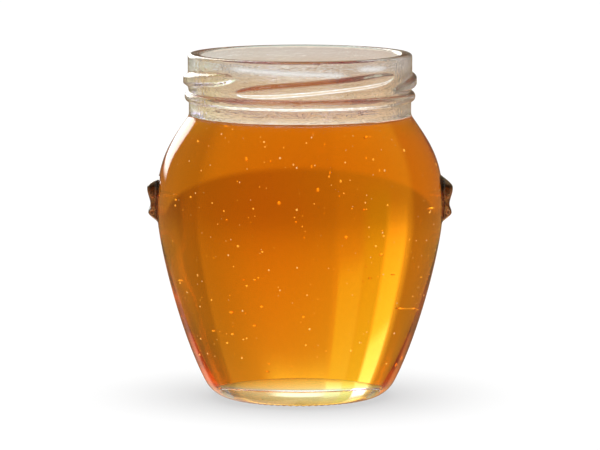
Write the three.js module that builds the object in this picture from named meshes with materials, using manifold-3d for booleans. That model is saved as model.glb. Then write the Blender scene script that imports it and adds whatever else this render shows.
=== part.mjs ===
// A small clear glass jar of honey with its lid off: a barrel-shaped body with two cast ears,
// a twist-off neck with four thread lugs over a bead, and honey filled up to the foot of the neck.
// Millimetres, +Z up. The origin is the centre of the ring that the jar stands on.
import * as THREE from "three";
import { mergeVertices } from "three/addons/utils/BufferGeometryUtils.js";
import Module from "manifold-3d";

const { degToRad, smoothstep } = THREE.MathUtils;

// Outer face of the body. A pull says how far a curve keeps its direction at one of its ends.
const JAR_HEIGHT = 71.5;
const BODY_RADIUS = 29.65; // at the widest, without the ears
const WIDEST_Z = 39.3;
const FOOT_RADIUS = 14.2; // outer edge of the flat ring it stands on
const FOOT_INNER_RADIUS = 12.4;
const PUSH_UP = 3.4; // height of the hollow under the base
const HEEL_RADIUS = 6.2;
const HEEL_LEAN = degToRad(28.2); // lean of the wall where the heel ends
const LOWER_WALL_PULL = { heel: 10.3, widest: 7.5 };
const SHOULDER_PULL = { widest: 9.5, top: 7.6 };
const SHOULDER_LEAN = degToRad(34.9); // lean of the shoulder where it meets the neck
const SHOULDER_TOP = { radius: 23.26, z: 58.26 };

// Neck with its twist-off finish
const NECK_RADIUS = 23.0;
const NECK_START_Z = 59.0;
const FINISH_RADIUS = 23.2; // wall that carries the thread
const MOUTH_RADIUS = 20.6;
const RIM_ROUND = 0.7;
const BEAD = { z: 62.65, proud: 0.85, halfHeight: 1.0 };

// Thread lugs. Azimuths are in degrees from the front, at -Y, and grow to the right, towards +X.
const LUG_COUNT = 4;
const LUG = { start: -34, sweep: 89, startZ: 64.85, rise: 2.95, proud: 0.95, halfHeight: 1.5 };
const LUG_TAPER = { start: 9, end: 6 }; // lengths of its round ends
// Section of a lug, with a flat outer face, as shares of how proud it is and of its half height
const LUG_SECTION = [
  [1, 0.35],
  [1, -0.35],
  [0.5, -0.68],
  [0, -1],
  [-1, -0.7],
  [-1, 0.7],
  [0, 1],
  [0.5, 0.68],
];

// Inner face of the glass
const WALL = 2.6;
const MOUTH_END_Z = 60.2; // where the straight mouth starts to flare into the shoulder
const INNER_SHOULDER_PULL = { mouth: 2.6, widest: 11.5 };
const INNER_WALL_PULL = { widest: 7.5, corner: 8.3 };
const FLOOR = { centreZ: 7.8, edgeZ: 4.1, radius: 14.6, corner: 5.2 };
const FLOOR_PULL = { edge: 2.4, centre: 10 };

// Ears, one at each end of the X axis: ridges with a waist, whose flanks run out into the wall.
// The outer edge runs from the bottom to the top, as distances from the axis and heights.
const EAR_EDGE = [
  [29.0, 36.2],
  [31.2, 37.9],
  [31.4, 38.8],
  [31.0, 40.3],
  [31.65, 43.0],
  [31.3, 44.4],
  [29.0, 46.3],
];
const EAR_ROOT = 27.6; // inner face, inside the wall
const EAR_CREST = 0.8; // half the width of its full height
const EAR_HALF_WIDTH = 5.0;
const EAR_SINK = 0.8; // how deep its side edges lie under the wall's face

// Honey
const HONEY_LEVEL = 58.1;
const MENISCUS = { rise: 0.5, width: 1.8, bend: 0.3 };
const GLASS_GAP = 0.3;

// Fineness of the facets
const TURN_SEGMENTS = 64;
const LUG_STEPS = 16;
const EAR_STEPS = 14;
const EAR_WIDTH_STEPS = 12;
const MERGE_DISTANCE = 1e-4;

const wasm = await Module();
wasm.setup();

const UP = new THREE.Vector2(0, 1);
const DOWN = new THREE.Vector2(0, -1);
const INWARD = new THREE.Vector2(-1, 0);
const HEEL_DIRECTION = new THREE.Vector2(Math.sin(HEEL_LEAN), Math.cos(HEEL_LEAN));
const SHOULDER_DIRECTION = new THREE.Vector2(-Math.sin(SHOULDER_LEAN), Math.cos(SHOULDER_LEAN));

const point = (radius, z) => new THREE.Vector2(radius, z);
const line = (from, to) => new THREE.LineCurve(from, to);
const quadratic = (from, corner, to) => new THREE.QuadraticBezierCurve(from, corner, to);
const arc = (centre, reach, rise, from, to) =>
  new THREE.EllipseCurve(centre.x, centre.y, reach, rise, from, to, to < from);

// A cubic that leaves one point and arrives at another in the directions given.
function bend(from, leaving, fromPull, to, arriving, toPull) {
  const first = from.clone().addScaledVector(leaving, fromPull);
  const second = to.clone().addScaledVector(arriving, -toPull);
  return new THREE.CubicBezierCurve(from, first, second, to);
}

// One outline from curves that follow each other, each given with its number of steps.
function outlineOf(curves) {
  return curves.flatMap(([curve, steps], i) => curve.getPoints(steps).slice(i ? 1 : 0));
}

// Underside, heel, wall and shoulder, from the middle of the base up to the neck.
function bodyCurves() {
  const footInner = point(FOOT_INNER_RADIUS, 0);
  const heelCentre = point(FOOT_RADIUS, HEEL_RADIUS);
  const heelEnd = point(
    heelCentre.x + HEEL_RADIUS * Math.cos(HEEL_LEAN),
    heelCentre.y - HEEL_RADIUS * Math.sin(HEEL_LEAN),
  );
  const widest = point(BODY_RADIUS, WIDEST_Z);
  const top = point(SHOULDER_TOP.radius, SHOULDER_TOP.z);
  const crease = point(NECK_RADIUS, top.y + (top.x - NECK_RADIUS) / Math.tan(SHOULDER_LEAN));
  return [
    [quadratic(point(0, PUSH_UP), point(FOOT_INNER_RADIUS / 2, PUSH_UP), footInner), 3],
    [line(footInner, point(FOOT_RADIUS, 0)), 1],
    [arc(heelCentre, HEEL_RADIUS, HEEL_RADIUS, -Math.PI / 2, -HEEL_LEAN), 4],
    [bend(heelEnd, HEEL_DIRECTION, LOWER_WALL_PULL.heel, widest, UP, LOWER_WALL_PULL.widest), 6],
    [bend(widest, UP, SHOULDER_PULL.widest, top, SHOULDER_DIRECTION, SHOULDER_PULL.top), 6],
    [quadratic(top, crease, point(NECK_RADIUS, NECK_START_Z)), 2],
  ];
}

// Neck wall with its bead, the wall of the finish, the rim and the straight mouth.
function neckCurves() {
  const neckStart = point(NECK_RADIUS, NECK_START_Z);
  const beadCentre = point(NECK_RADIUS, BEAD.z);
  const beadStart = point(NECK_RADIUS, BEAD.z - BEAD.halfHeight);
  const beadEnd = point(NECK_RADIUS, BEAD.z + BEAD.halfHeight);
  const finishStart = point(FINISH_RADIUS, LUG.startZ);
  const rimZ = JAR_HEIGHT - RIM_ROUND;
  const outerRound = point(FINISH_RADIUS - RIM_ROUND, rimZ);
  const innerRound = point(MOUTH_RADIUS + RIM_ROUND, rimZ);
  return [
    [line(neckStart, beadStart), 1],
    [arc(beadCentre, BEAD.proud, BEAD.halfHeight, -Math.PI / 2, Math.PI / 2), 5],
    [line(beadEnd, finishStart), 1],
    [line(finishStart, point(FINISH_RADIUS, rimZ)), 1],
    [arc(outerRound, RIM_ROUND, RIM_ROUND, 0, Math.PI / 2), 3],
    [line(point(outerRound.x, JAR_HEIGHT), point(innerRound.x, JAR_HEIGHT)), 1],
    [arc(innerRound, RIM_ROUND, RIM_ROUND, Math.PI / 2, Math.PI), 3],
    [line(point(MOUTH_RADIUS, rimZ), point(MOUTH_RADIUS, MOUTH_END_Z)), 1],
  ];
}

// Inner face from the end of the mouth to the middle of the floor, drawn in by a gap.
function innerCurves(gap) {
  const mouthEnd = point(MOUTH_RADIUS - gap, MOUTH_END_Z);
  const widest = point(BODY_RADIUS - WALL - gap, WIDEST_Z);
  const cornerCentre = point(FLOOR.radius, FLOOR.edgeZ + FLOOR.corner + gap);
  const cornerReach = FLOOR.corner - gap;
  const cornerStart = point(
    cornerCentre.x + cornerReach * Math.cos(HEEL_LEAN),
    cornerCentre.y - FLOOR.corner * Math.sin(HEEL_LEAN),
  );
  const intoCorner = HEEL_DIRECTION.clone().negate();
  const floorEdge = point(FLOOR.radius, FLOOR.edgeZ + gap);
  const floorCentre = point(0, FLOOR.centreZ + gap);
  return [
    [bend(mouthEnd, DOWN, INNER_SHOULDER_PULL.mouth, widest, DOWN, INNER_SHOULDER_PULL.widest), 7],
    [bend(widest, DOWN, INNER_WALL_PULL.widest, cornerStart, intoCorner, INNER_WALL_PULL.corner), 6],
    [arc(cornerCentre, cornerReach, FLOOR.corner, -HEEL_LEAN, -Math.PI / 2), 4],
    [bend(floorEdge, INWARD, FLOOR_PULL.edge, floorCentre, INWARD, FLOOR_PULL.centre), 5],
  ];
}

// The geometry as a solid that can be joined: corners that coincide are merged, and faces
// that collapse on the axis are dropped.
function solidOf(geometry) {
  geometry.deleteAttribute("normal");
  geometry.deleteAttribute("uv");
  const merged = mergeVertices(geometry, MERGE_DISTANCE);
  const corners = merged.index.array;
  const triVerts = [];
  for (let i = 0; i < corners.length; i += 3) {
    const [a, b, c] = corners.slice(i, i + 3);
    if (a !== b && b !== c && c !== a) triVerts.push(a, b, c);
  }
  return new wasm.Manifold(
    new wasm.Mesh({
      numProp: 3,
      vertProperties: merged.attributes.position.array,
      triVerts: new Uint32Array(triVerts),
    }),
  );
}

function geometryOf(solid) {
  const mesh = solid.getMesh();
  const geometry = new THREE.BufferGeometry();
  geometry.setAttribute("position", new THREE.BufferAttribute(mesh.vertProperties, mesh.numProp));
  geometry.setIndex(new THREE.BufferAttribute(mesh.triVerts, 1));
  geometry.computeVertexNormals();
  return geometry;
}

// A solid of revolution about Z from an outline in radius and height.
function turned(outline) {
  return solidOf(new THREE.LatheGeometry(outline, TURN_SEGMENTS).rotateX(Math.PI / 2));
}

// A closed skin over a row of rings of points, drawn to a tip at each end.
function lofted(firstTip, rings, lastTip) {
  const sides = rings[0].length;
  const points = [firstTip, ...rings.flat(), lastTip];
  const at = (ring, side) => 1 + ring * sides + (side % sides);
  const lastRing = rings.length - 1;
  const index = [];
  for (let side = 0; side < sides; side++) {
    index.push(0, at(0, side + 1), at(0, side));
    for (let ring = 0; ring < lastRing; ring++) {
      index.push(at(ring, side), at(ring, side + 1), at(ring + 1, side));
      index.push(at(ring, side + 1), at(ring + 1, side + 1), at(ring + 1, side));
    }
    index.push(at(lastRing, side), at(lastRing, side + 1), points.length - 1);
  }
  return solidOf(new THREE.BufferGeometry().setFromPoints(points).setIndex(index));
}

// One thread lug: its section climbs round the neck and has round ends.
function threadLug(number) {
  const start = LUG.start + (number * 360) / LUG_COUNT;
  const length = degToRad(LUG.sweep) * FINISH_RADIUS;
  const place = (share, outward, upward) => {
    const azimuth = degToRad(start + share * LUG.sweep);
    const radius = FINISH_RADIUS + LUG.proud * outward;
    const z = LUG.startZ + LUG.rise * share + LUG.halfHeight * upward;
    return new THREE.Vector3(radius * Math.sin(azimuth), -radius * Math.cos(azimuth), z);
  };
  const rings = [];
  for (let step = 1; step < LUG_STEPS; step++) {
    const share = (1 - Math.cos((Math.PI * step) / LUG_STEPS)) / 2;
    const along = share * length;
    const fromEnd = Math.min(along / LUG_TAPER.start, (length - along) / LUG_TAPER.end, 1);
    const size = Math.sqrt(1 - (1 - fromEnd) ** 2);
    rings.push(LUG_SECTION.map(([outward, upward]) => place(share, size * outward, size * upward)));
  }
  return lofted(place(0, 0, 0), rings, place(1, 0, 0));
}

// A level ring through an ear at a height where its outer edge has the radius given.
function earRing(radius, z) {
  const ring = [];
  for (let step = 0; step <= EAR_WIDTH_STEPS; step++) {
    const y = EAR_HALF_WIDTH * ((2 * step) / EAR_WIDTH_STEPS - 1);
    const proud = (radius - BODY_RADIUS) * (1 - smoothstep(Math.abs(y), EAR_CREST, EAR_HALF_WIDTH));
    const sink = EAR_SINK * (y / EAR_HALF_WIDTH) ** 4;
    ring.push(new THREE.Vector3(Math.sqrt(BODY_RADIUS ** 2 - y ** 2) + proud - sink, y, z));
  }
  const [right, left] = [ring[EAR_WIDTH_STEPS], ring[0]];
  return [...ring, new THREE.Vector3(EAR_ROOT, right.y, z), new THREE.Vector3(EAR_ROOT, left.y, z)];
}

// One ear at the end of the X axis. Its lowest and highest rings lie inside the wall.
function ear() {
  const edge = new THREE.SplineCurve(EAR_EDGE.map(([radius, z]) => point(radius, z)));
  const outline = edge.getPoints(EAR_STEPS);
  const rings = outline.map(({ x, y }) => earRing(x, y));
  const tip = ({ x, y }) => new THREE.Vector3((x + EAR_ROOT) / 2, 0, y);
  return lofted(tip(outline[0]), rings, tip(outline[EAR_STEPS]));
}

function glassJar() {
  const lugs = Array.from({ length: LUG_COUNT }, (_, number) => threadLug(number));
  const ears = [ear(), ear().rotate([0, 0, 180])];
  const bare = turned(outlineOf([...bodyCurves(), ...neckCurves(), ...innerCurves(0)]));
  return [...lugs, ...ears].reduce((glass, piece) => glass.add(piece), bare);
}

// The honey follows the inner face up to its level, where it climbs a little at the wall.
function honeyFill() {
  const inside = outlineOf(innerCurves(GLASS_GAP)).filter(({ y }) => y < HONEY_LEVEL);
  const edge = point(MOUTH_RADIUS - GLASS_GAP, HONEY_LEVEL + MENISCUS.rise);
  const flat = point(edge.x - MENISCUS.width, HONEY_LEVEL);
  const surface = outlineOf([
    [line(point(0, HONEY_LEVEL), flat), 1],
    [quadratic(flat, point(edge.x - MENISCUS.bend, HONEY_LEVEL), edge), 3],
  ]);
  return turned([...surface, ...inside].reverse());
}

const CLEAR_GLASS = new THREE.MeshStandardMaterial({
  color: 0xe9eeea,
  roughness: 0.05,
  metalness: 0,
  transparent: true,
  opacity: 0.35,
});
const AMBER_HONEY = new THREE.MeshStandardMaterial({ color: 0xc96a08, roughness: 0.08, metalness: 0 });

function named(name, solid, material) {
  const mesh = new THREE.Mesh(geometryOf(solid), material);
  mesh.name = name;
  return mesh;
}

const honeyJar = new THREE.Group();
honeyJar.add(named("glass_jar", glassJar(), CLEAR_GLASS));
honeyJar.add(named("honey", honeyFill(), AMBER_HONEY));

export default honeyJar;
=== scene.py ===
"""A small clear glass jar of honey with its lid off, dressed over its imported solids.

The frame is in metres. Sizes below are in millimetres, and MM turns them into metres.
"""

import math

import bmesh
import bpy
import numpy as np
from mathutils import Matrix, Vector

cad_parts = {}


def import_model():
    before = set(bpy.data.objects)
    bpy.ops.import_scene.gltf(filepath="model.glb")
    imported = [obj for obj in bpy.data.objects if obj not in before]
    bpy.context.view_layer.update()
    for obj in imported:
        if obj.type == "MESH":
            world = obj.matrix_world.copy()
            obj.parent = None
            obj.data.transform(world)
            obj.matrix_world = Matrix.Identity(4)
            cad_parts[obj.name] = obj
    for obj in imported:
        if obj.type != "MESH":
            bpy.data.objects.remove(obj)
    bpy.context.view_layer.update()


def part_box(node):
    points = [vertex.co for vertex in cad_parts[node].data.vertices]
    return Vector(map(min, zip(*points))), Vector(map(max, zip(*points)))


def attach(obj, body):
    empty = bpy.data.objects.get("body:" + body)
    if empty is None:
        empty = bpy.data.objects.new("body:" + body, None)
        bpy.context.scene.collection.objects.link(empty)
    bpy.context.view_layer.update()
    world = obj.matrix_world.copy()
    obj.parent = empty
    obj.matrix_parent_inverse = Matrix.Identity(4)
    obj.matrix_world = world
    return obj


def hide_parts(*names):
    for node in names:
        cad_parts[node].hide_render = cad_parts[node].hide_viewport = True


MM = 0.001

# Camera, fitted to the photograph's 600 x 450 frame
IMAGE_WIDTH = 600
FOCAL_PIXELS = 4367.0
SENSOR_WIDTH = 36.0
CAMERA_DISTANCE = 900.0
CAMERA_HEIGHT = 144.0
CAMERA_PITCH = 6.86

# Outer face of the body. A pull says how far a curve keeps its direction at one of its ends.
WIDEST_Z = 39.3
FOOT_RADIUS = 14.2
FOOT_INNER_RADIUS = 12.4
PUSH_UP = 3.4
HEEL_RADIUS = 6.2
HEEL_LEAN = math.radians(28.2)
LOWER_WALL_PULL = (10.3, 7.5)
SHOULDER_PULL = (9.5, 7.6)
SHOULDER_LEAN = math.radians(34.9)
SHOULDER_TOP = (23.26, 58.26)

# Neck with its twist-off finish
NECK_RADIUS = 23.0
NECK_START_Z = 59.0
FINISH_RADIUS = 23.2
MOUTH_RADIUS = 20.6
RIM_ROUND = 0.7
BEAD_Z = 62.65
BEAD_PROUD = 0.85
BEAD_HALF_HEIGHT = 1.0

# Thread lugs. Azimuths are in degrees from the front, at -Y, and grow towards +X.
LUG_COUNT = 4
LUG_START = -34.0
LUG_SWEEP = 89.0
LUG_START_Z = 64.85
LUG_RISE = 2.95
LUG_PROUD = 0.95
LUG_HALF_HEIGHT = 1.5
LUG_START_TAPER = 9.0
LUG_END_TAPER = 6.0
LUG_FLAT = 0.35
LUG_LEAST_SIZE = 0.01

# Inner face
WALL = 2.6
MOUTH_END_Z = 60.2
INNER_SHOULDER_PULL = (2.6, 11.5)
INNER_WALL_PULL = (7.5, 8.3)
FLOOR_CENTRE_Z = 7.8
FLOOR_EDGE_Z = 4.1
FLOOR_RADIUS = 14.6
FLOOR_CORNER = 5.2
FLOOR_PULL = (2.4, 10.0)

# Ears: distances from the axis and heights along their outer edge, from the bottom
EAR_EDGE = [
    (29.0, 36.2),
    (31.2, 37.9),
    (31.4, 38.8),
    (31.0, 40.3),
    (31.65, 43.0),
    (31.3, 44.4),
    (29.0, 46.3),
]
EAR_HALF_WIDTH = 3.6
EAR_ROUND = 2.8
EAR_FILLET = 1.4
EAR_BLEND = 0.15
EAR_SINK = 0.03
EAR_LEAST_RADIUS = 25.0

# Small marks of the mould
KNURL_COUNT = 72
KNURL_DEPTH = 0.14
KNURL_FADE = 0.3
KNURL_REACH = 2.0
KNURL_TOP_Z = 0.4
SEAM_PROUD = 0.05
SEAM_HALF_WIDTH = 0.35

# Honey
INTO_WALL = 0.08
MENISCUS_WIDTH = 1.8
MENISCUS_RISE = 0.5
MENISCUS_BEND = 0.3
EDGE_GAP = 0.3

# The inner floor's faces are found by how much they face up and by how far they are from its heights
FLOOR_UPWARD = 0.5
FLOOR_MARGIN_BELOW = 0.2
FLOOR_MARGIN_ABOVE = 3.0

# Bubbles. A power over one makes small values common, and one under it large ones.
BUBBLE_SEED = 11
BUBBLE_COUNT = 430
BUBBLE_RADII = (0.08, 0.24)
BUBBLE_SIZE_POWER = 2.5
BUBBLE_TOP_GAP = 0.6
BUBBLE_END_GAPS = 2.4
BUBBLE_DEPTH_POWER = 1.2
BUBBLE_WALL_GAP = 0.8
BUBBLE_WALL_POWER = 0.4
BUBBLE_STRETCH = 0.15
BUBBLE_SUBDIVISIONS = 2

# Fineness of the meshes: columns round the axis, and the gaps between rows along each stretch
COLUMNS = 256
EAR_COLUMN_GAP = 0.5
EAR_COLUMN_REACH = 11.0
EAR_ROW_REACH = 1.0
HONEY_COLUMNS = 192
ROW_GAPS = {
    "push_up": 0.9,
    "foot": 0.3,
    "heel": 0.4,
    "wall": 0.8,
    "wall_at_ears": 0.32,
    "crease": 0.22,
    "neck": 0.3,
    "bead": 0.2,
    "finish": 0.2,
    "rim_round": 0.22,
    "rim": 0.2,
    "mouth": 0.8,
    "inner_shoulder": 0.9,
    "inner_wall": 1.1,
    "inner_floor": 0.6,
    "meniscus": 0.2,
    "honey_top": 0.9,
}

# Glass. A clearness is the share of light let through. A start or an end is a soft edge's two places.
GLASS_IOR = 1.52
GLASS_TINT = (0.985, 0.99, 0.985, 1)
# The neck's tan tint is painted light and shade: it stands in for honey-coloured light and a darker shade
# seen in the neck
NECK_PAINTED_TINT = (0.86, 0.77, 0.65, 1)
NECK_TINT_START = (NECK_START_Z - 2, NECK_START_Z + 1)
NECK_CLEARNESS = 0.97
NECK_ROUGHNESS = 0.01
RIM_TINT = (0.88, 0.91, 0.95, 1)
RIM_TINT_START = (66.0, 70.0)
BASE_TINT = (0.57, 0.775, 1.0, 1)
BASE_TINT_END = (2.0, 5.0)
BASE_CLEARNESS = 0.92
# Ears: a dark brown painted shade on their flanks, standing in for the honey seen through them, and a paler
# painted highlight on their top, bottom and outer face
EAR_FLANK_PAINTED_SHADE = (0.12, 0.025, 0.002, 1)
EAR_PAINTED_HIGHLIGHT = (0.85, 0.5, 0.25, 1)
EAR_PAINT_START = (29.5, 30.2)
EAR_CLEARNESS = 0.86

# Which way an ear's outer face and its top and bottom look, as the X and the Z of their normals. They split
# the painted highlight from the painted shade on the flanks
EAR_FACE_START = (0.75, 0.93)
EAR_TOP_START = (0.3, 0.65)

# Relief of the glass
WAVE_LENGTH = 7.0
WAVE_DEPTH = 0.01
MOTTLE_LENGTH = 0.6
MOTTLE_DEPTH = 0.05
STREAK_LENGTH = 3.0
STREAK_HEIGHT = 0.45
STREAK_DEPTH = 0.05

# Painted highlight on the front of the finish, in streaks of fine pale grain: for each streak its left end,
# its right end and its height
GLINT_STREAKS = [(-13.5, 9.0, 69.0), (11.5, 17.0, 70.3)]
GLINT_COLOUR = (1.0, 0.98, 0.95, 1)
GLINT_CLEARNESS = 0.2
GLINT_SLOPE = 0.05
GLINT_HALF_HEIGHT = 0.5
GLINT_SOFTNESS = 0.7
GLINT_END_SOFTNESS = 1.5
GLINT_BACK = (-10.0, 0.0)
GLINT_GRAIN = 0.14
GLINT_GRAIN_GAIN = 0.3
GLINT_GRAIN_START = (0.58, 0.8)

# Honey and bubbles. Clouds are a soft change of colour: their scale, and the two colours.
HONEY_IOR = 1.49
HONEY_DENSITY = 112.0
HONEY_ABSORPTION = (0.941, 0.723, 0.0)
HONEY_CLOUDS = (45, (1.0, 0.97, 0.9), (1.0, 0.99, 0.96))
BUBBLE_CLOUDS = (300, (0.97, 0.97, 0.97), (1.0, 1.0, 1.0))
# The bubbles' faint orange glow is a painted glint
BUBBLE_PAINTED_GLINT = (1.0, 0.62, 0.3, 1)
BUBBLE_PAINTED_GLINT_STRENGTH = 0.4

# Stage: its floor, the lamp and the background
STAGE_HALF_WIDTH = 4000.0
STAGE_CLOUDS = (8, (0.93, 0.93, 0.93), (0.95, 0.95, 0.95))
STAGE_GLOW = 0.66
WHITE = 1.1
LAMP_STRENGTH = 1.5
LAMP_SPREAD = math.radians(60)

# Light through the jar, in degrees. Azimuths are nought straight behind the jar and grow to the right.
FOLD = 90.0
LEFT_TO_RIGHT = (-14, 12)

# Table
TABLE_EDGE = -16.5
TABLE_EDGE_SOFTNESS = 1.3
TABLE_EDGE_BEND = 0.0043
TABLE_EDGE_SIDES = 60.0
NEAR_TABLE = (0.98, 0.83, 0.65, 1)
NEAR_TABLE_CHANGE = 0.3
NEAR_TABLE_END = (24, 36)
NEAR_TABLE_END_SHADE = 0.8
UNDER_JAR = (0.7, 0.78, 0.66, 1)
UNDER_JAR_END = (-38, -27)
FAR_TABLE_LEFT = (0.75, 0.69, 0.58, 1)
FAR_TABLE_RIGHT = (0.72, 0.54, 0.42, 1)
FAR_TABLE_CHANGE = 0.6
FAR_TABLE_END = (37, 46)
FAR_TABLE_END_SHADE = 0.7

# Backdrop. Each change has two azimuths, and the factors on the left of the first and right of the second.
BACKDROP_FOOT = (-6, 8)
BACKDROP_LEFT = (1.12, 1.12, 1.0, 1)
BACKDROP_RIGHT = (1.1, 0.94, 0.78, 1)
BACKDROP_CHANGES = [
    (4, 31, 1.0, 0.68),
    (31.5, 34.5, 1.0, 0.72),
    (44, 49, 1.0, 1.2),
    (-11, -8, 1.15, 1.0),
    (-41, -36, 0.57, 1.0),
]
FAR_SIDES_START = (60, 80)
FAR_SIDES_GAIN = 1.5
CORNER_AZIMUTHS = (36, 60)
CORNER_SOFTNESS = 4
CORNER_START = (12, 24)
CORNER_SHADE = 0.36
HIGH_SIDES_AZIMUTHS = (24, 36)
HIGH_SIDES_START = (33, 39)
HIGH_SIDES_GAIN = 1.6

# Bright places on the backdrop, and the light overhead
BACKDROP_GLOW = (1.7, 2.15, 2.9, 1)
GLOW_AZIMUTHS = (-11, 11)
GLOW_SOFTNESS = 5
GLOW_START = (11, 20)
GLOW_END = (20, 23)
STRIP_LIGHT = (1.38, 1.68, 1.6, 1)
STRIP_AZIMUTHS = (-18.3, -10.8)
STRIP_SOFTNESS = 0.6
STRIP_ELEVATIONS = (5, 24)
STRIP_END_SOFTNESS = 2
PANE_LOW = (2.2, 2.35, 2.4, 1)
PANE_HIGH = (3.2, 3.4, 8.0, 1)
PANE_CHANGE = (12.5, 15.5)
PANE_AZIMUTHS = (-35.5, -25.8)
PANE_SOFTNESS = 1.2
PANE_START = (-9, 13)
PANE_END = (27, 33)
PANE_END_SHARE = 0.3
PAST_PANE_TINT = (1.0, 0.82, 0.45, 1)
PAST_PANE_AZIMUTHS = (-75, -39)
PAST_PANE_SOFTNESS = 3
BESIDE_PANE_TINT = (1.0, 1.18, 0.8, 1)
BESIDE_PANE_AZIMUTHS = (-27, -18)
BESIDE_PANE_SOFTNESS = 2
BESIDE_PANE_START = (-14, -4)
OVERHEAD = (4.0, 4.2, 4.4, 1)
OVERHEAD_START = (46, 58)

# Light that the glass mirrors, placed as above
MIRRORED_ROOM = (0.1, 0.05, 0.02, 1)
MIRRORED_TABLE = (0.26, 0.17, 0.08, 1)
MIRRORED_BACKDROP = (0.14, 0.1, 0.06, 1)
MIRRORED_FOOT = (-8, 4)
MIRRORED_SIDES_END = (20, 110)
SHEEN_LEFT = (1.1, 0.85, 0.6, 1)
SHEEN_LEFT_AZIMUTHS = (-32, -4)
SHEEN_RIGHT = (0.9, 0.5, 0.18, 1)
SHEEN_RIGHT_AZIMUTHS = (4, 32)
SHEEN_SOFTNESS = 4
SHEEN_END = (-22, -12)
WINDOW = (4.0, 4.0, 3.8, 1)
WINDOW_AZIMUTHS = (-37, -4)
WINDOW_ELEVATIONS = (1, 40)
WINDOW_SOFTNESS = 2


def metres(pair):
    """Two sizes in millimetres as metres."""
    return pair[0] * MM, pair[1] * MM


def bezier(start, leaving, start_pull, end, arriving, end_pull, steps=300):
    """Dense points on a cubic that leaves start and arrives at end in the directions given."""
    start, end = np.array(start), np.array(end)
    first = start + start_pull * np.array(leaving)
    second = end - end_pull * np.array(arriving)
    t = np.linspace(0, 1, steps)[:, None]
    return (1 - t) ** 3 * start + 3 * t * (1 - t) ** 2 * first + 3 * t**2 * (1 - t) * second + t**3 * end


def quadratic(start, corner, end, steps=200):
    start, corner, end = np.array(start), np.array(corner), np.array(end)
    t = np.linspace(0, 1, steps)[:, None]
    return (1 - t) ** 2 * start + 2 * t * (1 - t) * corner + t**2 * end


def arc(centre, reach, rise, from_angle, to_angle, steps=200):
    angle = np.linspace(from_angle, to_angle, steps)
    return np.stack([centre[0] + reach * np.cos(angle), centre[1] + rise * np.sin(angle)], axis=1)


def line(start, end):
    return np.linspace(start, end, 200)


def spline(points, steps=24):
    """Points on a smooth curve through the points given."""
    points = np.array(points)
    ends = np.vstack([2 * points[0] - points[1], points, 2 * points[-1] - points[-2]])
    t = np.linspace(0, 1, steps, endpoint=False)[:, None]
    parts = []
    for before, start, end, after in zip(ends, ends[1:], ends[2:], ends[3:]):
        leaving, arriving = (end - before) / 2, (after - start) / 2
        bulge = 3 * (end - start) - 2 * leaving - arriving
        closing = 2 * (start - end) + leaving + arriving
        parts.append(start + leaving * t + bulge * t**2 + closing * t**3)
    return np.vstack(parts + [points[-1:]])


def respaced(points, gap):
    """The curve's points again at about the gap given, which may change with height."""
    steps = np.linalg.norm(np.diff(points, axis=0), axis=1)
    gaps = np.vectorize(gap)(points[1:, 1]) if callable(gap) else np.full(len(steps), gap)
    along = np.concatenate([[0], np.cumsum(steps / gaps)])
    wanted = np.linspace(0, along[-1], max(2, round(along[-1]) + 1))
    return np.stack([np.interp(wanted, along, points[:, i]) for i in (0, 1)], axis=1)


def joined(curves):
    """One outline from curves that follow each other, each with its gap."""
    parts = [respaced(points, gap) for points, gap in curves]
    return np.vstack([parts[0]] + [part[1:] for part in parts[1:]])


def smoothstep(low, high, x):
    t = np.clip((x - low) / (high - low), 0, 1)
    return t * t * (3 - 2 * t)


def wall_gap(z):
    """Rows of the outer wall lie closer together along the ears."""
    near_ear = EAR_EDGE[0][1] - EAR_ROW_REACH < z < EAR_EDGE[-1][1] + EAR_ROW_REACH
    return ROW_GAPS["wall_at_ears"] if near_ear else ROW_GAPS["wall"]


def body_outline(body_radius):
    """Underside, heel, wall and shoulder, from the middle of the base up to the neck."""
    heel_direction = (math.sin(HEEL_LEAN), math.cos(HEEL_LEAN))
    shoulder_direction = (-math.sin(SHOULDER_LEAN), math.cos(SHOULDER_LEAN))
    heel_end = (
        FOOT_RADIUS + HEEL_RADIUS * math.cos(HEEL_LEAN),
        HEEL_RADIUS - HEEL_RADIUS * math.sin(HEEL_LEAN),
    )
    widest = (body_radius, WIDEST_Z)
    crease_z = SHOULDER_TOP[1] + (SHOULDER_TOP[0] - NECK_RADIUS) / math.tan(SHOULDER_LEAN)
    up = (0, 1)
    push_up = quadratic((0, PUSH_UP), (FOOT_INNER_RADIUS / 2, PUSH_UP), (FOOT_INNER_RADIUS, 0))
    heel = arc((FOOT_RADIUS, HEEL_RADIUS), HEEL_RADIUS, HEEL_RADIUS, -math.pi / 2, -HEEL_LEAN)
    return joined([
        (push_up, ROW_GAPS["push_up"]),
        (line((FOOT_INNER_RADIUS, 0), (FOOT_RADIUS, 0)), ROW_GAPS["foot"]),
        (heel, ROW_GAPS["heel"]),
        (bezier(heel_end, heel_direction, LOWER_WALL_PULL[0], widest, up, LOWER_WALL_PULL[1]), wall_gap),
        (bezier(widest, up, SHOULDER_PULL[0], SHOULDER_TOP, shoulder_direction, SHOULDER_PULL[1]), wall_gap),
        (quadratic(SHOULDER_TOP, (NECK_RADIUS, crease_z), (NECK_RADIUS, NECK_START_Z)), ROW_GAPS["crease"]),
    ])


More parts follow.
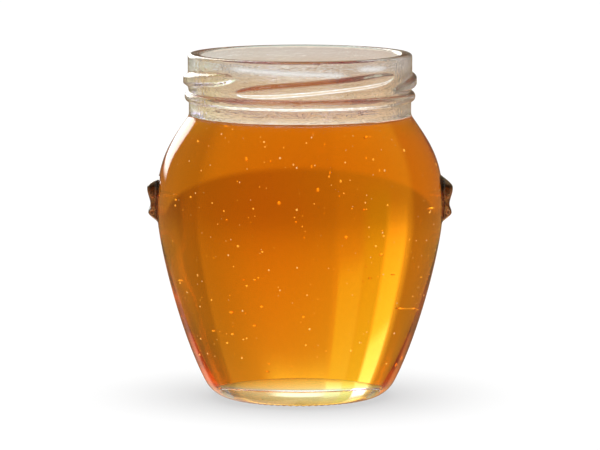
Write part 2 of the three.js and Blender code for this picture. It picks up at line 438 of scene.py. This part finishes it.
def neck_outline(height):
    """Neck with its bead, the wall of the finish, the rim and the straight mouth."""
    bead_start = (NECK_RADIUS, BEAD_Z - BEAD_HALF_HEIGHT)
    bead_end = (NECK_RADIUS, BEAD_Z + BEAD_HALF_HEIGHT)
    bead = arc((NECK_RADIUS, BEAD_Z), BEAD_PROUD, BEAD_HALF_HEIGHT, -math.pi / 2, math.pi / 2)
    finish_start = (FINISH_RADIUS, LUG_START_Z)
    rim_z = height - RIM_ROUND
    outer_round = (FINISH_RADIUS - RIM_ROUND, rim_z)
    inner_round = (MOUTH_RADIUS + RIM_ROUND, rim_z)
    return joined([
        (line((NECK_RADIUS, NECK_START_Z), bead_start), ROW_GAPS["neck"]),
        (bead, ROW_GAPS["bead"]),
        (line(bead_end, finish_start), ROW_GAPS["finish"]),
        (line(finish_start, (FINISH_RADIUS, rim_z)), ROW_GAPS["finish"]),
        (arc(outer_round, RIM_ROUND, RIM_ROUND, 0, math.pi / 2), ROW_GAPS["rim_round"]),
        (line((outer_round[0], height), (inner_round[0], height)), ROW_GAPS["rim"]),
        (arc(inner_round, RIM_ROUND, RIM_ROUND, math.pi / 2, math.pi), ROW_GAPS["rim_round"]),
        (line((MOUTH_RADIUS, rim_z), (MOUTH_RADIUS, MOUTH_END_Z)), ROW_GAPS["mouth"]),
    ])


def inner_outline(body_radius, grow):
    """Inner face from the end of the mouth to the middle of the floor, moved out by some growth."""
    down = (0, -1)
    inward = (-1, 0)
    into_corner = (-math.sin(HEEL_LEAN), -math.cos(HEEL_LEAN))
    mouth_end = (MOUTH_RADIUS + grow, MOUTH_END_Z)
    widest = (body_radius - WALL + grow, WIDEST_Z)
    corner_centre = (FLOOR_RADIUS, FLOOR_EDGE_Z + FLOOR_CORNER - grow)
    reach = FLOOR_CORNER + grow
    corner_start = (
        corner_centre[0] + reach * math.cos(HEEL_LEAN),
        corner_centre[1] - FLOOR_CORNER * math.sin(HEEL_LEAN),
    )
    floor_edge = (FLOOR_RADIUS, FLOOR_EDGE_Z - grow)
    floor_centre = (0, FLOOR_CENTRE_Z - grow)
    shoulder = bezier(mouth_end, down, INNER_SHOULDER_PULL[0], widest, down, INNER_SHOULDER_PULL[1])
    wall = bezier(widest, down, INNER_WALL_PULL[0], corner_start, into_corner, INNER_WALL_PULL[1])
    corner = arc(corner_centre, reach, FLOOR_CORNER, -HEEL_LEAN, -math.pi / 2)
    floor = bezier(floor_edge, inward, FLOOR_PULL[0], floor_centre, inward, FLOOR_PULL[1])
    return joined([
        (shoulder, ROW_GAPS["inner_shoulder"]),
        (wall, ROW_GAPS["inner_wall"]),
        (corner, ROW_GAPS["inner_floor"]),
        (floor, ROW_GAPS["inner_floor"]),
    ])


def jar_azimuths():
    """Azimuths of the jar's columns in degrees, closer together at the two ears."""
    even = np.arange(COLUMNS) * 360 / COLUMNS
    from_ear = (even + 90) % 180
    from_ear = np.minimum(from_ear, 180 - from_ear)
    even = even[from_ear > EAR_COLUMN_REACH]
    fine = np.arange(-EAR_COLUMN_REACH, EAR_COLUMN_REACH + EAR_COLUMN_GAP / 2, EAR_COLUMN_GAP)
    return np.sort(np.concatenate([even, 90 + fine, 270 + fine]))


def lug_height(azimuth, z):
    """How far the thread lugs stand proud of the neck at an azimuth and a height."""
    length = math.radians(LUG_SWEEP) * FINISH_RADIUS
    height = np.zeros_like(z)
    for number in range(LUG_COUNT):
        start = LUG_START + number * 360 / LUG_COUNT
        turned = (azimuth - start + 180) % 360 - 180
        along = np.radians(turned) * FINISH_RADIUS
        above = z - LUG_START_Z - LUG_RISE * along / length
        from_end = np.minimum(along / LUG_START_TAPER, (length - along) / LUG_END_TAPER)
        size = np.sqrt(1 - (1 - np.clip(from_end, 0, 1)) ** 2)
        away = np.abs(above) / (LUG_HALF_HEIGHT * np.maximum(size, LUG_LEAST_SIZE))
        height = np.maximum(height, LUG_PROUD * size * (1 - smoothstep(LUG_FLAT, 1, away)))
    return height


def ear_height(y, z, radius):
    """How far the ears stand proud of the body, measured along X."""
    edge = spline(EAR_EDGE)
    proud = np.interp(z, edge[:, 1], edge[:, 0], left=0, right=0) - radius
    proud = 0.5 * (proud + np.sqrt(proud**2 + EAR_BLEND**2)) - EAR_SINK
    across = 1 - smoothstep(EAR_HALF_WIDTH - EAR_ROUND, EAR_HALF_WIDTH + EAR_FILLET, np.abs(y))
    return np.clip(proud, 0, None) * across * (radius > EAR_LEAST_RADIUS)


def add_piece(name, mesh):
    """A new object in the scene for a mesh."""
    mesh.shade_smooth()
    piece = bpy.data.objects.new(name, mesh)
    bpy.context.scene.collection.objects.link(piece)
    return piece


def grid_mesh(name, x, y, z):
    """A closed mesh from rows of points that all turn round the axis. The first and last row are tips."""
    rows, columns = x.shape
    inner = np.stack([x[1:-1], y[1:-1], z[1:-1]], axis=-1).reshape(-1, 3)
    tips = np.array([[0, 0, z[0, 0]], [0, 0, z[-1, 0]]])
    points = np.vstack([inner, tips]) * MM
    first_tip, last_tip = len(inner), len(inner) + 1
    here = np.arange(columns)
    following = (here + 1) % columns
    faces = [(first_tip, int(b), int(a)) for a, b in zip(here, following)]
    for row in range(rows - 3):
        low, high = row * columns, (row + 1) * columns
        faces += [
            (int(low + a), int(low + b), int(high + b), int(high + a)) for a, b in zip(here, following)
        ]
    last = (rows - 3) * columns
    faces += [(int(last + a), int(last + b), last_tip) for a, b in zip(here, following)]
    mesh = bpy.data.meshes.new(name)
    mesh.from_pydata(points.tolist(), [], faces)
    mesh.validate()
    return add_piece(name, mesh)


def make_jar(body_radius, height, honey_edge_z):
    """The glass, with its outer face first and its inner face after it."""
    outer = np.vstack([body_outline(body_radius), neck_outline(height)[1:]])
    inner = inner_outline(body_radius, 0)[1:]
    rows = np.vstack([outer, inner])
    outside = np.arange(len(rows))[:, None] < len(outer)
    azimuth = jar_azimuths()[None, :]
    turn = np.radians(azimuth)
    radius = rows[:, :1]
    z = rows[:, 1:] + np.zeros_like(azimuth)
    on_finish = outside & (radius > (MOUTH_RADIUS + NECK_RADIUS) / 2) & (z > NECK_START_Z)
    reach = radius + lug_height(azimuth, z) * on_finish
    x, y = reach * np.sin(turn), -reach * np.cos(turn)
    on_wall = outside & (z > HEEL_RADIUS) & (z < NECK_START_Z)
    seam = SEAM_PROUD * (1 - smoothstep(0, SEAM_HALF_WIDTH, np.abs(y))) * on_wall
    x = x + np.sign(x) * (ear_height(y, z, radius) * on_wall + seam)
    on_foot = outside * smoothstep(FOOT_INNER_RADIUS, FOOT_INNER_RADIUS + KNURL_FADE, radius)
    on_foot = on_foot * (z < KNURL_TOP_Z) * (radius < FOOT_RADIUS + KNURL_REACH)
    z = z + KNURL_DEPTH * (0.5 + 0.5 * np.cos(KNURL_COUNT * turn)) * on_foot
    jar = grid_mesh("jar_glass", x, y, z)
    set_wet_faces(jar, honey_edge_z)
    return jar


def set_wet_faces(jar, honey_edge_z):
    """Gives the inner face below the honey's edge the second material slot."""
    count = len(jar.data.polygons)
    centres = np.empty(count * 3)
    normals = np.empty(count * 3)
    jar.data.polygons.foreach_get("center", centres)
    jar.data.polygons.foreach_get("normal", normals)
    centres = centres.reshape(-1, 3) / MM
    normals = normals.reshape(-1, 3)
    z = centres[:, 2]
    outward = (centres[:, :2] * normals[:, :2]).sum(axis=1)
    on_floor = (normals[:, 2] > FLOOR_UPWARD) & (z < FLOOR_CENTRE_Z + FLOOR_MARGIN_ABOVE)
    faces_in = (outward < 0) | on_floor
    wet = faces_in & (z < honey_edge_z) & (z > FLOOR_EDGE_Z - FLOOR_MARGIN_BELOW)
    jar.data.polygons.foreach_set("material_index", wet.astype(np.int32))


def make_honey(body_radius, level, edge_z):
    """The honey, which reaches just into the wall and climbs a little where it meets it."""
    inside = inner_outline(body_radius, INTO_WALL)[::-1]
    inside = inside[inside[:, 1] < edge_z - EDGE_GAP]
    edge = (MOUTH_RADIUS + INTO_WALL, edge_z)
    flat = (edge[0] - MENISCUS_WIDTH, level)
    top = joined([
        (quadratic(edge, (edge[0] - MENISCUS_BEND, level), flat), ROW_GAPS["meniscus"]),
        (line(flat, (0, level)), ROW_GAPS["honey_top"]),
    ])
    rows = np.vstack([inside, top])
    turn = np.radians(np.arange(HONEY_COLUMNS) * 360 / HONEY_COLUMNS)[None, :]
    radius = rows[:, :1]
    z = rows[:, 1:] + np.zeros_like(turn)
    honey = grid_mesh("honey_fill", radius * np.sin(turn), -radius * np.cos(turn), z)
    first_top = (len(inside) - 1) * HONEY_COLUMNS
    index = (np.arange(len(honey.data.polygons)) >= first_top).astype(np.int32)
    honey.data.polygons.foreach_set("material_index", index)
    return honey


def unit_ball():
    """Points of a ball of radius one, and the corners of its faces, which are turned inwards."""
    mesh = bpy.data.meshes.new("bubble")
    ball = bmesh.new()
    bmesh.ops.create_icosphere(ball, subdivisions=BUBBLE_SUBDIVISIONS, radius=1.0)
    ball.to_mesh(mesh)
    ball.free()
    points = np.array([v.co for v in mesh.vertices])
    corners = np.array([p.vertices for p in mesh.polygons])
    bpy.data.meshes.remove(mesh)
    return points, corners[:, ::-1]


def make_bubbles(body_radius, level):
    """Air bubbles sunk in the honey, more of them near its surface and its wall."""
    rng = np.random.default_rng(BUBBLE_SEED)
    inside = inner_outline(body_radius, 0)
    inside = inside[np.argsort(inside[:, 1])]
    smallest, largest = BUBBLE_RADII
    depth_range = level - FLOOR_CENTRE_Z - BUBBLE_END_GAPS
    unit, corners = unit_ball()
    points, faces = [], []
    for number in range(BUBBLE_COUNT):
        size = smallest + (largest - smallest) * rng.random() ** BUBBLE_SIZE_POWER
        z = level - BUBBLE_TOP_GAP - depth_range * rng.random() ** BUBBLE_DEPTH_POWER
        wall = np.interp(z, inside[:, 1], inside[:, 0]) - BUBBLE_WALL_GAP
        radius = wall * rng.random() ** BUBBLE_WALL_POWER
        turn = 2 * math.pi * rng.random()
        centre = np.array([radius * math.sin(turn), -radius * math.cos(turn), z])
        stretch = np.array([1, 1, 1 + BUBBLE_STRETCH * rng.random()])
        faces.append(corners + len(unit) * number)
        points.append(centre + size * unit * stretch)
    mesh = bpy.data.meshes.new("bubbles")
    mesh.from_pydata((np.vstack(points) * MM).tolist(), [], np.vstack(faces).tolist())
    return add_piece("bubbles", mesh)


class Sums:
    """Sums over numbers and sockets, made as math nodes in a node tree."""

    def __init__(self, tree):
        self.nodes, self.links = tree.nodes, tree.links

    def plug(self, socket, value):
        if isinstance(value, bpy.types.NodeSocket):
            self.links.new(value, socket)
        else:
            socket.default_value = value

    def math(self, operation, *values):
        node = self.nodes.new("ShaderNodeMath")
        node.operation = operation
        for socket, value in zip(node.inputs, values):
            self.plug(socket, value)
        return node.outputs[0]

    def rise(self, value, low, high, start=0.0, end=1.0):
        """Goes smoothly from start at low to end at high."""
        node = self.nodes.new("ShaderNodeMapRange")
        node.interpolation_type = "SMOOTHSTEP"
        self.plug(node.inputs["Value"], value)
        self.plug(node.inputs["From Min"], low)
        self.plug(node.inputs["From Max"], high)
        self.plug(node.inputs["To Min"], start)
        self.plug(node.inputs["To Max"], end)
        return node.outputs["Result"]

    def band(self, value, low, high, soft):
        """One between low and high and nought outside, with soft edges."""
        after_low = self.rise(value, low - soft, low + soft)
        before_high = self.rise(value, high - soft, high + soft, 1.0, 0.0)
        return self.math("MULTIPLY", after_low, before_high)

    def mix(self, share, first, second, blend="MIX"):
        node = self.nodes.new("ShaderNodeMix")
        node.data_type = "RGBA"
        node.blend_type = blend
        self.plug(node.inputs["Factor"], share)
        for name, colour in (("A", first), ("B", second)):
            socket = next(i for i in node.inputs if i.name == name and i.type == "RGBA")
            self.plug(socket, colour)
        return next(o for o in node.outputs if o.type == "RGBA")

    def shaded(self, colour, brightness):
        return self.mix(1.0, colour, brightness, "MULTIPLY")

    def noise(self, place, scale, detail=1.0):
        node = self.nodes.new("ShaderNodeTexNoise")
        node.inputs["Scale"].default_value = scale
        node.inputs["Detail"].default_value = detail
        self.links.new(place, node.inputs["Vector"])
        return node.outputs["Fac"]


def new_material(name):
    material = bpy.data.materials.new(name)
    material.use_nodes = True
    nodes = material.node_tree.nodes
    return material, nodes, material.node_tree.links, nodes["Principled BSDF"]


def set_clear(shader, ior):
    """Makes a shader clear and smooth all over."""
    shader.inputs["Roughness"].default_value = 0.0
    shader.inputs["IOR"].default_value = ior
    shader.inputs["Transmission Weight"].default_value = 1.0


def noise_colour(nodes, links, scale, low, high):
    """A soft change of colour through the material, from object coordinates."""
    place = nodes.new("ShaderNodeTexCoord")
    noise = nodes.new("ShaderNodeTexNoise")
    noise.inputs["Scale"].default_value = scale
    noise.inputs["Detail"].default_value = 2.0
    ramp = nodes.new("ShaderNodeValToRGB")
    ramp.color_ramp.elements[0].color = (*low, 1)
    ramp.color_ramp.elements[1].color = (*high, 1)
    links.new(place.outputs["Object"], noise.inputs["Vector"])
    links.new(noise.outputs["Fac"], ramp.inputs["Fac"])
    return ramp.outputs["Color"]


def glass_material(name, ior):
    """Pressed glass: waves and mottle, a tint and a slight veil on the neck, base and ears, painted tan
    light and shade on the neck, a painted highlight in grainy streaks on the front of the finish, and
    painted shade with a paler painted highlight on the ears.
    """
    material, nodes, links, shader = new_material(name)
    set_clear(shader, ior)
    sums = Sums(material.node_tree)
    place = nodes.new("ShaderNodeTexCoord").outputs["Object"]
    split = nodes.new("ShaderNodeSeparateXYZ")
    links.new(place, split.inputs[0])
    x, y, z = split.outputs
    on_neck = sums.rise(z, *metres(NECK_TINT_START))
    on_rim = sums.rise(z, *metres(RIM_TINT_START))
    on_base = sums.rise(z, *metres(BASE_TINT_END), 1.0, 0.0)
    painted_glint = painted_finish_glint(sums, place, x, y, z)
    # Where the ears take their painted highlight and painted shade
    on_painted_ear, on_side, on_painted_ear_shade = painted_ear_places(sums, nodes, links, x)
    colour = sums.mix(on_base, GLASS_TINT, BASE_TINT)
    # Painted tan light and shade on the neck
    colour = sums.mix(on_neck, colour, NECK_PAINTED_TINT)
    colour = sums.mix(on_rim, colour, RIM_TINT)
    # Painted highlight: pale grainy streaks on the front of the finish
    colour = sums.mix(painted_glint, colour, GLINT_COLOUR)
    # Paler painted highlight on the ears, then dark painted shade on their flanks
    colour = sums.mix(on_painted_ear, colour, EAR_PAINTED_HIGHLIGHT)
    colour = sums.mix(on_painted_ear_shade, colour, EAR_FLANK_PAINTED_SHADE)
    links.new(colour, shader.inputs["Base Color"])
    # The ears let less light through, so that their painted colours show
    clearness = sums.math("MULTIPLY_ADD", on_side, EAR_CLEARNESS - 1, 1.0)
    clearness = sums.math("MULTIPLY_ADD", on_neck, NECK_CLEARNESS - 1, clearness)
    clearness = sums.math("MULTIPLY_ADD", on_base, BASE_CLEARNESS - 1, clearness)
    # Less light goes through the painted highlight, so that its pale colour shows
    clearness = sums.math("MULTIPLY_ADD", painted_glint, GLINT_CLEARNESS - 1, clearness)
    links.new(clearness, shader.inputs["Transmission Weight"])
    links.new(sums.math("MULTIPLY", on_neck, NECK_ROUGHNESS), shader.inputs["Roughness"])
    links.new(glass_relief(sums, nodes, links, place, on_neck), shader.inputs["Normal"])
    return material


def glass_relief(sums, nodes, links, place, on_neck):
    """Normals with slow waves all over, and with mottle and flat streaks on the neck."""
    slow = sums.math("MULTIPLY", sums.noise(place, 1 / (WAVE_LENGTH * MM)), WAVE_DEPTH * MM)
    mottle = sums.math("MULTIPLY", sums.noise(place, 1 / (MOTTLE_LENGTH * MM)), MOTTLE_DEPTH * MM)
    flat = nodes.new("ShaderNodeMapping")
    flat.inputs["Scale"].default_value = (1, 1, STREAK_LENGTH / STREAK_HEIGHT)
    links.new(place, flat.inputs["Vector"])
    streaks = sums.noise(flat.outputs[0], 1 / (STREAK_LENGTH * MM))
    relief = sums.math("MULTIPLY_ADD", streaks, STREAK_DEPTH * MM, mottle)
    bump = nodes.new("ShaderNodeBump")
    bump.inputs["Distance"].default_value = 1.0
    links.new(sums.math("MULTIPLY_ADD", relief, on_neck, slow), bump.inputs["Height"])
    return bump.outputs["Normal"]


def painted_finish_glint(sums, place, x, y, z):
    """Share of a painted highlight: a fine pale grain in slanting streaks on the front of the finish."""
    slanted = sums.math("MULTIPLY_ADD", x, GLINT_SLOPE, z)
    share = 0.0
    for left, right, middle in GLINT_STREAKS:
        along = sums.band(x, left * MM, right * MM, GLINT_END_SOFTNESS * MM)
        low, high = metres((middle - GLINT_HALF_HEIGHT, middle + GLINT_HALF_HEIGHT))
        across = sums.band(slanted, low, high, GLINT_SOFTNESS * MM)
        share = sums.math("MULTIPLY_ADD", along, across, share)
    share = sums.math("MULTIPLY", share, sums.rise(y, *metres(GLINT_BACK), 1.0, 0.0))
    grain = sums.noise(place, 1 / (GLINT_GRAIN * MM))
    grain = sums.math("MULTIPLY_ADD", share, GLINT_GRAIN_GAIN, grain)
    return sums.math("MULTIPLY", share, sums.rise(grain, *GLINT_GRAIN_START))


def painted_ear_places(sums, nodes, links, x):
    """Shares for the ears' painted light and shade: one on the whole ears, which take a paler painted
    highlight, on all but their outer face, and on their two flanks alone, which take a dark painted shade.
    """
    on_painted_ear = sums.rise(sums.math("ABSOLUTE", x), *metres(EAR_PAINT_START))
    facing = nodes.new("ShaderNodeSeparateXYZ")
    links.new(nodes.new("ShaderNodeNewGeometry").outputs["Normal"], facing.inputs[0])
    sideways = sums.math("ABSOLUTE", facing.outputs["X"])
    upright = sums.math("ABSOLUTE", facing.outputs["Z"])
    on_side = sums.math("MULTIPLY", on_painted_ear, sums.rise(sideways, *EAR_FACE_START, 1.0, 0.0))
    on_painted_ear_shade = sums.math("MULTIPLY", on_side, sums.rise(upright, *EAR_TOP_START, 1.0, 0.0))
    return on_painted_ear, on_side, on_painted_ear_shade


def honey_material(name, ior):
    material, nodes, links, shader = new_material(name)
    set_clear(shader, ior)
    links.new(noise_colour(nodes, links, *HONEY_CLOUDS), shader.inputs["Base Color"])
    absorb = nodes.new("ShaderNodeVolumeAbsorption")
    absorb.inputs["Color"].default_value = (*HONEY_ABSORPTION, 1)
    absorb.inputs["Density"].default_value = HONEY_DENSITY
    links.new(absorb.outputs["Volume"], nodes["Material Output"].inputs["Volume"])
    return material


def bubble_material():
    """Air in honey. The faces are turned inwards, so that the honey is on the side that bends light. The air
    glows faintly orange, a painted glint.
    """
    material, nodes, links, shader = new_material("bubble_air")
    set_clear(shader, HONEY_IOR)
    # Painted glint: a faint orange glow of the air
    shader.inputs["Emission Color"].default_value = BUBBLE_PAINTED_GLINT
    shader.inputs["Emission Strength"].default_value = BUBBLE_PAINTED_GLINT_STRENGTH
    links.new(noise_colour(nodes, links, *BUBBLE_CLOUDS), shader.inputs["Base Color"])
    return material


def floor_material():
    material, nodes, links, shader = new_material("pale_floor")
    shader.inputs["Roughness"].default_value = 0.9
    shader.inputs["Specular IOR Level"].default_value = 0.1
    links.new(noise_colour(nodes, links, *STAGE_CLOUDS), shader.inputs["Base Color"])
    return material


def make_floor():
    half = STAGE_HALF_WIDTH * MM
    corners = [(-half, -half, 0), (half, -half, 0), (half, half, 0), (-half, half, 0)]
    mesh = bpy.data.meshes.new("floor")
    mesh.from_pydata(corners, [], [(0, 1, 2, 3)])
    mesh.materials.append(floor_material())
    floor = bpy.data.objects.new("floor", mesh)
    bpy.context.scene.collection.objects.link(floor)
    floor.visible_transmission = False
    floor.visible_glossy = False


def grey(value):
    return (value, value, value, 1)


def make_world():
    """White for the eye and grey for the floor. A table and a lit backdrop shine through the jar, alike
    from its back and its front, and it mirrors a dim room with one window."""
    world = bpy.data.worlds.new("studio")
    world.use_nodes = True
    nodes, links = world.node_tree.nodes, world.node_tree.links
    sums = Sums(world.node_tree)
    direction = nodes.new("ShaderNodeSeparateXYZ")
    links.new(nodes.new("ShaderNodeTexCoord").outputs["Generated"], direction.inputs[0])
    x, y, z = direction.outputs
    to_degrees = math.degrees(1)
    azimuth = sums.math("MULTIPLY", sums.math("ARCTAN2", x, y), to_degrees)
    elevation = sums.math("MULTIPLY", sums.math("ARCSINE", z), to_degrees)
    folded = sums.math("WRAP", azimuth, FOLD, -FOLD)
    path = nodes.new("ShaderNodeLightPath")
    through = backdrop_light(sums, folded, elevation)
    mirrored = room_light(sums, azimuth, elevation)
    colour = sums.mix(path.outputs["Is Transmission Ray"], mirrored, through)
    colour = sums.mix(path.outputs["Is Diffuse Ray"], colour, grey(STAGE_GLOW))
    colour = sums.mix(path.outputs["Is Camera Ray"], colour, grey(WHITE))
    links.new(colour, nodes["Background"].inputs["Color"])
    world.cycles.sampling_method = "NONE"
    bpy.context.scene.world = world


def backdrop_light(sums, azimuth, elevation):
    """What shows through the jar: a table top, and over it a backdrop with bright panes. The jar bends the
    light, so that what is on the left here shows on its right."""
    brightness = across_backdrop(sums, azimuth)
    aside = sums.math("MINIMUM", sums.math("ABSOLUTE", azimuth), TABLE_EDGE_SIDES)
    table = table_light(sums, azimuth, elevation, brightness, aside)
    backdrop = plain_backdrop(sums, azimuth, elevation, brightness, aside)
    colour = sums.mix(sums.rise(elevation, *BACKDROP_FOOT), table, backdrop)
    past_pane = sums.band(azimuth, *PAST_PANE_AZIMUTHS, PAST_PANE_SOFTNESS)
    colour = sums.mix(past_pane, colour, sums.shaded(colour, PAST_PANE_TINT))
    beside_pane = sums.band(azimuth, *BESIDE_PANE_AZIMUTHS, BESIDE_PANE_SOFTNESS)
    beside_pane = sums.math("MULTIPLY", beside_pane, sums.rise(elevation, *BESIDE_PANE_START))
    colour = sums.mix(beside_pane, colour, sums.shaded(colour, BESIDE_PANE_TINT))
    colour = with_panes(sums, azimuth, elevation, colour)
    return sums.mix(sums.rise(elevation, *OVERHEAD_START), colour, OVERHEAD)


def across_backdrop(sums, azimuth):
    """How bright the backdrop is: most left of the middle, least on the right, more again at its ends."""
    brightness = 1.0
    for start, end, left_factor, right_factor in BACKDROP_CHANGES:
        change = sums.rise(azimuth, start, end, left_factor, right_factor)
        brightness = sums.math("MULTIPLY", brightness, change)
    far_sides = sums.rise(sums.math("ABSOLUTE", azimuth), *FAR_SIDES_START, 1.0, FAR_SIDES_GAIN)
    return sums.math("MULTIPLY", brightness, far_sides)


def table_light(sums, azimuth, elevation, brightness, aside):
    """The table top: pale near the jar, and darker on its far side, past a curved edge."""
    near_shade = sums.math("MULTIPLY_ADD", brightness, NEAR_TABLE_CHANGE, 1 - NEAR_TABLE_CHANGE)
    near = sums.shaded(NEAR_TABLE, near_shade)
    near = sums.shaded(near, sums.rise(azimuth, *NEAR_TABLE_END, 1.0, NEAR_TABLE_END_SHADE))
    near = sums.mix(sums.rise(elevation, *UNDER_JAR_END), UNDER_JAR, near)
    far_shade = sums.math("MULTIPLY_ADD", brightness, FAR_TABLE_CHANGE, 1 - FAR_TABLE_CHANGE)
    far = sums.mix(sums.rise(azimuth, *LEFT_TO_RIGHT), FAR_TABLE_LEFT, FAR_TABLE_RIGHT)
    far = sums.shaded(far, far_shade)
    far = sums.shaded(far, sums.rise(azimuth, *FAR_TABLE_END, 1.0, FAR_TABLE_END_SHADE))
    bend = sums.math("MULTIPLY", sums.math("MULTIPLY", aside, aside), TABLE_EDGE_BEND)
    height = sums.math("SUBTRACT", elevation, bend)
    past_edge = sums.rise(height, TABLE_EDGE - TABLE_EDGE_SOFTNESS, TABLE_EDGE + TABLE_EDGE_SOFTNESS)
    return sums.mix(past_edge, near, far)


def plain_backdrop(sums, azimuth, elevation, brightness, aside):
    """The backdrop without its panes, darker in a corner on the right and brighter high up at the sides."""
    colour = sums.mix(sums.rise(azimuth, *LEFT_TO_RIGHT), BACKDROP_LEFT, BACKDROP_RIGHT)
    colour = sums.shaded(colour, brightness)
    corner = sums.band(azimuth, *CORNER_AZIMUTHS, CORNER_SOFTNESS)
    corner = sums.math("MULTIPLY", corner, sums.rise(elevation, *CORNER_START))
    colour = sums.shaded(colour, sums.math("MULTIPLY_ADD", corner, -CORNER_SHADE, 1.0))
    high_sides = sums.rise(aside, *HIGH_SIDES_AZIMUTHS)
    high_sides = sums.math("MULTIPLY", high_sides, sums.rise(elevation, *HIGH_SIDES_START))
    return sums.shaded(colour, sums.math("MULTIPLY_ADD", high_sides, HIGH_SIDES_GAIN, 1.0))


def with_panes(sums, azimuth, elevation, colour):
    """The colour with the backdrop's bright places: a glow in its middle, a narrow strip and a tall pane."""
    glow = sums.band(azimuth, *GLOW_AZIMUTHS, GLOW_SOFTNESS)
    glow = sums.math("MULTIPLY", glow, sums.rise(elevation, *GLOW_START))
    glow = sums.math("MULTIPLY", glow, sums.rise(elevation, *GLOW_END, 1.0, 0.0))
    colour = sums.mix(glow, colour, BACKDROP_GLOW)
    strip = sums.band(azimuth, *STRIP_AZIMUTHS, STRIP_SOFTNESS)
    strip = sums.math("MULTIPLY", strip, sums.band(elevation, *STRIP_ELEVATIONS, STRIP_END_SOFTNESS))
    colour = sums.mix(strip, colour, STRIP_LIGHT)
    pane = sums.band(azimuth, *PANE_AZIMUTHS, PANE_SOFTNESS)
    pane = sums.math("MULTIPLY", pane, sums.rise(elevation, *PANE_START))
    pane = sums.math("MULTIPLY", pane, sums.rise(elevation, *PANE_END, 1.0, PANE_END_SHARE))
    pane_light = sums.mix(sums.rise(elevation, *PANE_CHANGE), PANE_LOW, PANE_HIGH)
    return sums.mix(pane, colour, pane_light)


def room_light(sums, azimuth, elevation):
    """What the glass mirrors: a dark room, the lit table and backdrop in it, and a window on the left."""
    behind = sums.rise(sums.math("ABSOLUTE", azimuth), *MIRRORED_SIDES_END, 1.0, 0.0)
    lit = sums.mix(sums.rise(elevation, *MIRRORED_FOOT), MIRRORED_TABLE, MIRRORED_BACKDROP)
    colour = sums.mix(behind, MIRRORED_ROOM, lit)
    low = sums.rise(elevation, *SHEEN_END, 1.0, 0.0)
    for azimuths, sheen in ((SHEEN_LEFT_AZIMUTHS, SHEEN_LEFT), (SHEEN_RIGHT_AZIMUTHS, SHEEN_RIGHT)):
        across = sums.band(azimuth, *azimuths, SHEEN_SOFTNESS)
        colour = sums.mix(sums.math("MULTIPLY", low, across), colour, sheen)
    window = sums.band(azimuth, *WINDOW_AZIMUTHS, WINDOW_SOFTNESS)
    window = sums.math("MULTIPLY", window, sums.band(elevation, *WINDOW_ELEVATIONS, WINDOW_SOFTNESS))
    return sums.mix(window, colour, WINDOW)


def make_lamp():
    """A broad soft lamp overhead. It lights the floor and leaves a close, soft shadow under the jar."""
    data = bpy.data.lights.new("lamp", "SUN")
    data.angle = LAMP_SPREAD
    data.energy = LAMP_STRENGTH
    lamp = bpy.data.objects.new("lamp", data)
    lamp.visible_glossy = False
    lamp.visible_transmission = False
    bpy.context.scene.collection.objects.link(lamp)


def make_camera():
    data = bpy.data.cameras.new("camera")
    data.sensor_width = SENSOR_WIDTH
    data.lens = FOCAL_PIXELS / IMAGE_WIDTH * SENSOR_WIDTH
    data.clip_end = 50
    camera = bpy.data.objects.new("camera", data)
    camera.location = (0, -CAMERA_DISTANCE * MM, CAMERA_HEIGHT * MM)
    camera.rotation_euler = (math.radians(90 - CAMERA_PITCH), 0, 0)
    bpy.context.scene.collection.objects.link(camera)
    bpy.context.scene.camera = camera


def set_light_paths():
    scene = bpy.context.scene
    scene.view_settings.view_transform = "Standard"
    scene.cycles.max_bounces = 32
    scene.cycles.transmission_bounces = 32
    scene.cycles.glossy_bounces = 12
    scene.cycles.caustics_refractive = False
    scene.cycles.caustics_reflective = False


def main():
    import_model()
    _, jar_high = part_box("glass_jar")
    _, honey_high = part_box("honey")
    body_radius = jar_high[1] / MM
    height = jar_high[2] / MM
    honey_edge = honey_high[2] / MM
    level = honey_edge - MENISCUS_RISE
    set_light_paths()
    make_camera()
    make_world()
    make_lamp()
    make_floor()
    jar = make_jar(body_radius, height, honey_edge)
    jar.data.materials.append(glass_material("clear_glass", GLASS_IOR))
    jar.data.materials.append(glass_material("wet_glass", GLASS_IOR / HONEY_IOR))
    honey = make_honey(body_radius, level, honey_edge)
    honey.data.materials.append(honey_material("honey_side", 1.0))
    honey.data.materials.append(honey_material("honey_top", HONEY_IOR))
    bubbles = make_bubbles(body_radius, level)
    bubbles.data.materials.append(bubble_material())
    for piece, slot in ((jar, "clear_glass"), (honey, "honey"), (bubbles, "honey")):
        piece.visible_diffuse = False
        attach(piece, "root")
    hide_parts("glass_jar")
    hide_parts("honey")


main()
